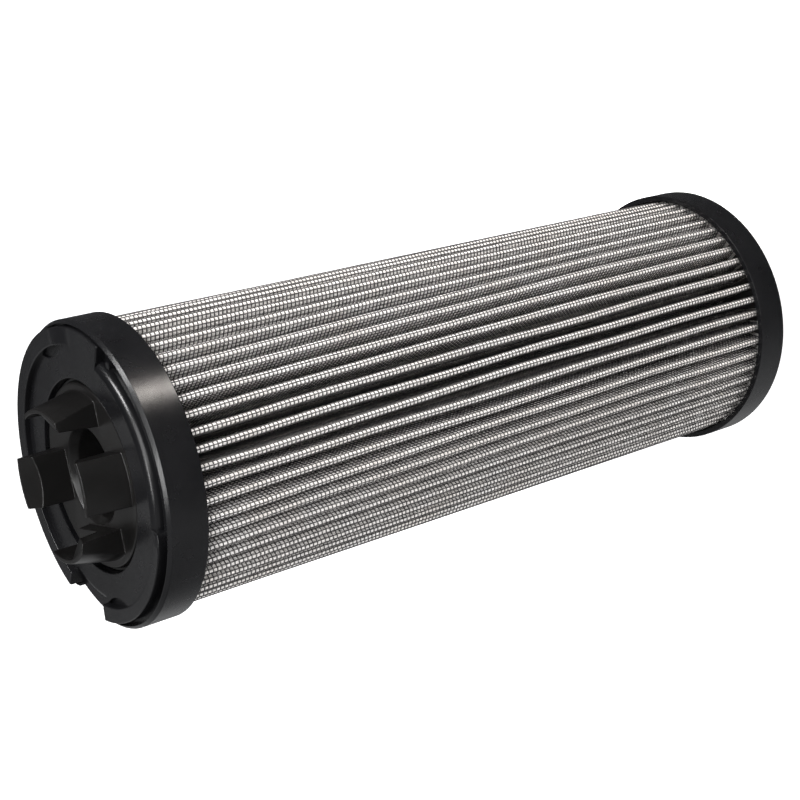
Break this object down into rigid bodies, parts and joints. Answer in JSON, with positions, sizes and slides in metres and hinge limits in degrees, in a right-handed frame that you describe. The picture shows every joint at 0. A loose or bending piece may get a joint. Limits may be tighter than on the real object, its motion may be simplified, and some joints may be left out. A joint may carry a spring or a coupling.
{
  "type": "hydraulic filter element",
  "caption": "Pleated hydraulic return filter element: wire-backed white pleats between black end caps, with four claws around the bore at one end.",
  "frame": {"origin": "centre of the far end cap's flat outer face, which the element stands on", "axes": "+Z along the element's axis, from the far end cap to the claws; +X towards the open arc in the near cap's raised lip, +Y towards the middle of the long lip's ramp"},
  "size_m": [0.086, 0.086, 0.2456],
  "materials": {
    "cap_plastic": "satin black glass-filled moulding, soft sheen on the skirts",
    "claw_plastic": "satin black moulding, a little darker and smoother than the caps",
    "seal_rubber": "matt black nitrile rubber",
    "core_plastic": "dull brown-black moulding",
    "coated_wire": "thin dark coated wire, square mesh of 1.3 mm pitch",
    "white_fleece": "white needled fleece seen through the mesh",
    "glass_fibre": "off-white glass fibre mat",
    "inner_wire": "fine coated wire mesh",
    "resin": "set two-part resin, dark"
  },
  "bodies": {
    "root": {"near_end_cap": "cap_plastic", "claw_ring": "claw_plastic", "claw_ring_seal": "seal_rubber", "far_end_cap": "cap_plastic", "far_bore_seal": "seal_rubber", "core_tube": "core_plastic", "outer_support_mesh": "coated_wire", "outer_fleece": "white_fleece", "coarse_filter_layer": "glass_fibre", "fine_filter_layer": "glass_fibre", "inner_fleece": "white_fleece", "inner_support_mesh": "inner_wire", "pleat_seam_bead": "resin", "near_potting": "resin", "far_potting": "resin"}
  },
  "joints": []
}
